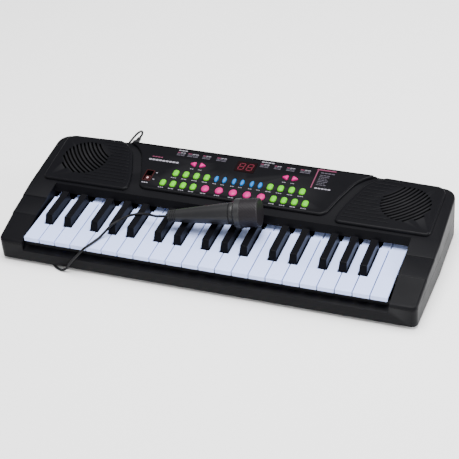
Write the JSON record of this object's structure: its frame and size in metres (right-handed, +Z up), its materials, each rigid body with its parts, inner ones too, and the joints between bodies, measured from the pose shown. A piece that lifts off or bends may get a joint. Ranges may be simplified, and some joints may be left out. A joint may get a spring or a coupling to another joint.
{
  "type": "toy electronic keyboard",
  "caption": "Toy electronic keyboard with hinged white and black keys, coloured rubber buttons, twin speaker grilles, a small display and a corded microphone.",
  "frame": {"origin": "on the floor below the middle of the case", "axes": "+X along the keys towards the high notes, -Y towards the player, +Z up"},
  "size_m": [0.445, 0.227, 0.0737],
  "materials": {
    "case_black": "fine satin moulding",
    "key_white": "semi gloss",
    "key_black": "gloss",
    "button_green": "soft satin",
    "button_blue": "soft satin",
    "button_pink": "soft satin",
    "switch_red": "satin",
    "display_red": "clear dark red",
    "display_black": "satin",
    "circuit_board": "solder resist",
    "speaker_cone": "paper",
    "contact_rubber": "matt",
    "steel_rod": "drawn",
    "jack_metal": "plated",
    "cell_wrap": "printed film",
    "plug_black": "satin",
    "cord_black": "satin",
    "mic_black": "satin",
    "mic_grille": "satin"
  },
  "bodies": {
    "root": {"upper_case": "case_black", "lower_case": "case_black", "key_rod": "steel_rod", "contact_strip": "contact_rubber", "main_board": "circuit_board", "display_module": "display_black", "display_lens": "display_red", "speaker_left": "speaker_cone", "speaker_right": "speaker_cone", "battery_cells": "cell_wrap", "mic_jack": "jack_metal", "mic_plug": "plug_black", "mic_cord": "cord_black"},
    "white_key_01": {"white_key_01": "key_white"},
    "white_key_02": {"white_key_02": "key_white"},
    "white_key_03": {"white_key_03": "key_white"},
    "white_key_04": {"white_key_04": "key_white"},
    "white_key_05": {"white_key_05": "key_white"},
    "white_key_06": {"white_key_06": "key_white"},
    "white_key_07": {"white_key_07": "key_white"},
    "white_key_08": {"white_key_08": "key_white"},
    "white_key_09": {"white_key_09": "key_white"},
    "white_key_10": {"white_key_10": "key_white"},
    "white_key_11": {"white_key_11": "key_white"},
    "white_key_12": {"white_key_12": "key_white"},
    "white_key_13": {"white_key_13": "key_white"},
    "white_key_14": {"white_key_14": "key_white"},
    "white_key_15": {"white_key_15": "key_white"},
    "white_key_16": {"white_key_16": "key_white"},
    "white_key_17": {"white_key_17": "key_white"},
    "white_key_18": {"white_key_18": "key_white"},
    "white_key_19": {"white_key_19": "key_white"},
    "white_key_20": {"white_key_20": "key_white"},
    "white_key_21": {"white_key_21": "key_white"},
    "white_key_22": {"white_key_22": "key_white"},
    "black_key_01": {"black_key_01": "key_black"},
    "black_key_02": {"black_key_02": "key_black"},
    "black_key_03": {"black_key_03": "key_black"},
    "black_key_04": {"black_key_04": "key_black"},
    "black_key_05": {"black_key_05": "key_black"},
    "black_key_06": {"black_key_06": "key_black"},
    "black_key_07": {"black_key_07": "key_black"},
    "black_key_08": {"black_key_08": "key_black"},
    "black_key_09": {"black_key_09": "key_black"},
    "black_key_10": {"black_key_10": "key_black"},
    "black_key_11": {"black_key_11": "key_black"},
    "black_key_12": {"black_key_12": "key_black"},
    "black_key_13": {"black_key_13": "key_black"},
    "black_key_14": {"black_key_14": "key_black"},
    "black_key_15": {"black_key_15": "key_black"},
    "green_buttons_left": {"green_buttons_left": "button_green"},
    "green_buttons_right": {"green_buttons_right": "button_green"},
    "blue_buttons": {"blue_buttons": "button_blue"},
    "pink_buttons": {"pink_buttons": "button_pink"},
    "arrow_buttons_left": {"arrow_buttons_left": "button_pink"},
    "arrow_buttons_right": {"arrow_buttons_right": "button_pink"},
    "power_switch": {"power_switch": "switch_red"},
    "battery_door": {"battery_door": "case_black"},
    "microphone": {"mic_handle": "mic_black", "mic_head": "mic_grille"}
  },
  "joints": [
    {"name": "white_key_01_hinge", "type": "hinge", "parent": "root", "child": "white_key_01", "pos_m": [-0.1827, 0.012, 0.0235], "axis": [1, 0, 0], "range_deg": [0, 2.6], "stiffness_Nm_per_rad": 0.25, "springref_deg": -8.59},
    {"name": "white_key_02_hinge", "type": "hinge", "parent": "root", "child": "white_key_02", "pos_m": [-0.1653, 0.012, 0.0235], "axis": [1, 0, 0], "range_deg": [0, 2.6], "stiffness_Nm_per_rad": 0.25, "springref_deg": -8.59},
    {"name": "white_key_03_hinge", "type": "hinge", "parent": "root", "child": "white_key_03", "pos_m": [-0.1479, 0.012, 0.0235], "axis": [1, 0, 0], "range_deg": [0, 2.6], "stiffness_Nm_per_rad": 0.25, "springref_deg": -8.59},
    {"name": "white_key_04_hinge", "type": "hinge", "parent": "root", "child": "white_key_04", "pos_m": [-0.1305, 0.012, 0.0235], "axis": [1, 0, 0], "range_deg": [0, 2.6], "stiffness_Nm_per_rad": 0.25, "springref_deg": -8.59},
    {"name": "white_key_05_hinge", "type": "hinge", "parent": "root", "child": "white_key_05", "pos_m": [-0.1131, 0.012, 0.0235], "axis": [1, 0, 0], "range_deg": [0, 2.6], "stiffness_Nm_per_rad": 0.25, "springref_deg": -8.59},
    {"name": "white_key_06_hinge", "type": "hinge", "parent": "root", "child": "white_key_06", "pos_m": [-0.0957, 0.012, 0.0235], "axis": [1, 0, 0], "range_deg": [0, 2.6], "stiffness_Nm_per_rad": 0.25, "springref_deg": -8.59},
    {"name": "white_key_07_hinge", "type": "hinge", "parent": "root", "child": "white_key_07", "pos_m": [-0.0783, 0.012, 0.0235], "axis": [1, 0, 0], "range_deg": [0, 2.6], "stiffness_Nm_per_rad": 0.25, "springref_deg": -8.59},
    {"name": "white_key_08_hinge", "type": "hinge", "parent": "root", "child": "white_key_08", "pos_m": [-0.0609, 0.012, 0.0235], "axis": [1, 0, 0], "range_deg": [0, 2.6], "stiffness_Nm_per_rad": 0.25, "springref_deg": -8.59},
    {"name": "white_key_09_hinge", "type": "hinge", "parent": "root", "child": "white_key_09", "pos_m": [-0.0435, 0.012, 0.0235], "axis": [1, 0, 0], "range_deg": [0, 2.6], "stiffness_Nm_per_rad": 0.25, "springref_deg": -8.59},
    {"name": "white_key_10_hinge", "type": "hinge", "parent": "root", "child": "white_key_10", "pos_m": [-0.0261, 0.012, 0.0235], "axis": [1, 0, 0], "range_deg": [0, 2.6], "stiffness_Nm_per_rad": 0.25, "springref_deg": -8.59},
    {"name": "white_key_11_hinge", "type": "hinge", "parent": "root", "child": "white_key_11", "pos_m": [-0.0087, 0.012, 0.0235], "axis": [1, 0, 0], "range_deg": [0, 2.6], "stiffness_Nm_per_rad": 0.25, "springref_deg": -8.59},
    {"name": "white_key_12_hinge", "type": "hinge", "parent": "root", "child": "white_key_12", "pos_m": [0.0087, 0.012, 0.0235], "axis": [1, 0, 0], "range_deg": [0, 2.6], "stiffness_Nm_per_rad": 0.25, "springref_deg": -8.59},
    {"name": "white_key_13_hinge", "type": "hinge", "parent": "root", "child": "white_key_13", "pos_m": [0.0261, 0.012, 0.0235], "axis": [1, 0, 0], "range_deg": [0, 2.6], "stiffness_Nm_per_rad": 0.25, "springref_deg": -8.59},
    {"name": "white_key_14_hinge", "type": "hinge", "parent": "root", "child": "white_key_14", "pos_m": [0.0435, 0.012, 0.0235], "axis": [1, 0, 0], "range_deg": [0, 2.6], "stiffness_Nm_per_rad": 0.25, "springref_deg": -8.59},
    {"name": "white_key_15_hinge", "type": "hinge", "parent": "root", "child": "white_key_15", "pos_m": [0.0609, 0.012, 0.0235], "axis": [1, 0, 0], "range_deg": [0, 2.6], "stiffness_Nm_per_rad": 0.25, "springref_deg": -8.59},
    {"name": "white_key_16_hinge", "type": "hinge", "parent": "root", "child": "white_key_16", "pos_m": [0.0783, 0.012, 0.0235], "axis": [1, 0, 0], "range_deg": [0, 2.6], "stiffness_Nm_per_rad": 0.25, "springref_deg": -8.59},
    {"name": "white_key_17_hinge", "type": "hinge", "parent": "root", "child": "white_key_17", "pos_m": [0.0957, 0.012, 0.0235], "axis": [1, 0, 0], "range_deg": [0, 2.6], "stiffness_Nm_per_rad": 0.25, "springref_deg": -8.59},
    {"name": "white_key_18_hinge", "type": "hinge", "parent": "root", "child": "white_key_18", "pos_m": [0.1131, 0.012, 0.0235], "axis": [1, 0, 0], "range_deg": [0, 2.6], "stiffness_Nm_per_rad": 0.25, "springref_deg": -8.59},
    {"name": "white_key_19_hinge", "type": "hinge", "parent": "root", "child": "white_key_19", "pos_m": [0.1305, 0.012, 0.0235], "axis": [1, 0, 0], "range_deg": [0, 2.6], "stiffness_Nm_per_rad": 0.25, "springref_deg": -8.59},
    {"name": "white_key_20_hinge", "type": "hinge", "parent": "root", "child": "white_key_20", "pos_m": [0.1479, 0.012, 0.0235], "axis": [1, 0, 0], "range_deg": [0, 2.6], "stiffness_Nm_per_rad": 0.25, "springref_deg": -8.59},
    {"name": "white_key_21_hinge", "type": "hinge", "parent": "root", "child": "white_key_21", "pos_m": [0.1653, 0.012, 0.0235], "axis": [1, 0, 0], "range_deg": [0, 2.6], "stiffness_Nm_per_rad": 0.25, "springref_deg": -8.59},
    {"name": "white_key_22_hinge", "type": "hinge", "parent": "root", "child": "white_key_22", "pos_m": [0.1827, 0.012, 0.0235], "axis": [1, 0, 0], "range_deg": [0, 2.6], "stiffness_Nm_per_rad": 0.25, "springref_deg": -8.59},
    {"name": "black_key_01_hinge", "type": "hinge", "parent": "root", "child": "black_key_01", "pos_m": [-0.1759, 0.012, 0.0235], "axis": [1, 0, 0], "range_deg": [0, 2.6], "stiffness_Nm_per_rad": 0.25, "springref_deg": -8.59},
    {"name": "black_key_02_hinge", "type": "hinge", "parent": "root", "child": "black_key_02", "pos_m": [-0.1547, 0.012, 0.0235], "axis": [1, 0, 0], "range_deg": [0, 2.6], "stiffness_Nm_per_rad": 0.25, "springref_deg": -8.59},
    {"name": "black_key_03_hinge", "type": "hinge", "parent": "root", "child": "black_key_03", "pos_m": [-0.1246, 0.012, 0.0235], "axis": [1, 0, 0], "range_deg": [0, 2.6], "stiffness_Nm_per_rad": 0.25, "springref_deg": -8.59},
    {"name": "black_key_04_hinge", "type": "hinge", "parent": "root", "child": "black_key_04", "pos_m": [-0.1044, 0.012, 0.0235], "axis": [1, 0, 0], "range_deg": [0, 2.6], "stiffness_Nm_per_rad": 0.25, "springref_deg": -8.59},
    {"name": "black_key_05_hinge", "type": "hinge", "parent": "root", "child": "black_key_05", "pos_m": [-0.0842, 0.012, 0.0235], "axis": [1, 0, 0], "range_deg": [0, 2.6], "stiffness_Nm_per_rad": 0.25, "springref_deg": -8.59},
    {"name": "black_key_06_hinge", "type": "hinge", "parent": "root", "child": "black_key_06", "pos_m": [-0.0541, 0.012, 0.0235], "axis": [1, 0, 0], "range_deg": [0, 2.6], "stiffness_Nm_per_rad": 0.25, "springref_deg": -8.59},
    {"name": "black_key_07_hinge", "type": "hinge", "parent": "root", "child": "black_key_07", "pos_m": [-0.0329, 0.012, 0.0235], "axis": [1, 0, 0], "range_deg": [0, 2.6], "stiffness_Nm_per_rad": 0.25, "springref_deg": -8.59},
    {"name": "black_key_08_hinge", "type": "hinge", "parent": "root", "child": "black_key_08", "pos_m": [-0.0028, 0.012, 0.0235], "axis": [1, 0, 0], "range_deg": [0, 2.6], "stiffness_Nm_per_rad": 0.25, "springref_deg": -8.59},
    {"name": "black_key_09_hinge", "type": "hinge", "parent": "root", "child": "black_key_09", "pos_m": [0.0174, 0.012, 0.0235], "axis": [1, 0, 0], "range_deg": [0, 2.6], "stiffness_Nm_per_rad": 0.25, "springref_deg": -8.59},
    {"name": "black_key_10_hinge", "type": "hinge", "parent": "root", "child": "black_key_10", "pos_m": [0.0376, 0.012, 0.0235], "axis": [1, 0, 0], "range_deg": [0, 2.6], "stiffness_Nm_per_rad": 0.25, "springref_deg": -8.59},
    {"name": "black_key_11_hinge", "type": "hinge", "parent": "root", "child": "black_key_11", "pos_m": [0.0677, 0.012, 0.0235], "axis": [1, 0, 0], "range_deg": [0, 2.6], "stiffness_Nm_per_rad": 0.25, "springref_deg": -8.59},
    {"name": "black_key_12_hinge", "type": "hinge", "parent": "root", "child": "black_key_12", "pos_m": [0.0889, 0.012, 0.0235], "axis": [1, 0, 0], "range_deg": [0, 2.6], "stiffness_Nm_per_rad": 0.25, "springref_deg": -8.59},
    {"name": "black_key_13_hinge", "type": "hinge", "parent": "root", "child": "black_key_13", "pos_m": [0.119, 0.012, 0.0235], "axis": [1, 0, 0], "range_deg": [0, 2.6], "stiffness_Nm_per_rad": 0.25, "springref_deg": -8.59},
    {"name": "black_key_14_hinge", "type": "hinge", "parent": "root", "child": "black_key_14", "pos_m": [0.1392, 0.012, 0.0235], "axis": [1, 0, 0], "range_deg": [0, 2.6], "stiffness_Nm_per_rad": 0.25, "springref_deg": -8.59},
    {"name": "black_key_15_hinge", "type": "hinge", "parent": "root", "child": "black_key_15", "pos_m": [0.1594, 0.012, 0.0235], "axis": [1, 0, 0], "range_deg": [0, 2.6], "stiffness_Nm_per_rad": 0.25, "springref_deg": -8.59},
    {"name": "green_buttons_left_press", "type": "slide", "parent": "root", "child": "green_buttons_left", "axis": [0, 0.1089, -0.9941], "range_m": [0, 0.001], "stiffness_N_per_m": 150, "springref_m": -0.002},
    {"name": "green_buttons_right_press", "type": "slide", "parent": "root", "child": "green_buttons_right", "axis": [0, 0.1089, -0.9941], "range_m": [0, 0.001], "stiffness_N_per_m": 150, "springref_m": -0.002},
    {"name": "blue_buttons_press", "type": "slide", "parent": "root", "child": "blue_buttons", "axis": [0, 0.1089, -0.9941], "range_m": [0, 0.001], "stiffness_N_per_m": 150, "springref_m": -0.002},
    {"name": "pink_buttons_press", "type": "slide", "parent": "root", "child": "pink_buttons", "axis": [0, 0.1089, -0.9941], "range_m": [0, 0.001], "stiffness_N_per_m": 150, "springref_m": -0.002},
    {"name": "arrow_buttons_left_press", "type": "slide", "parent": "root", "child": "arrow_buttons_left", "axis": [0, 0.1089, -0.9941], "range_m": [0, 0.001], "stiffness_N_per_m": 150, "springref_m": -0.002},
    {"name": "arrow_buttons_right_press", "type": "slide", "parent": "root", "child": "arrow_buttons_right", "axis": [0, 0.1089, -0.9941], "range_m": [0, 0.001], "stiffness_N_per_m": 150, "springref_m": -0.002},
    {"name": "power_switch_slide", "type": "slide", "parent": "root", "child": "power_switch", "axis": [0, 0.9941, 0.1089], "range_m": [0, 0.006]},
    {"name": "battery_door_slide", "type": "slide", "parent": "root", "child": "battery_door", "axis": [0, 1, 0], "range_m": [0, 0.03]},
    {"name": "microphone_lift", "type": "slide", "parent": "root", "child": "microphone", "axis": [0, 0, 1], "range_m": [0, 0.05]}
  ]
}
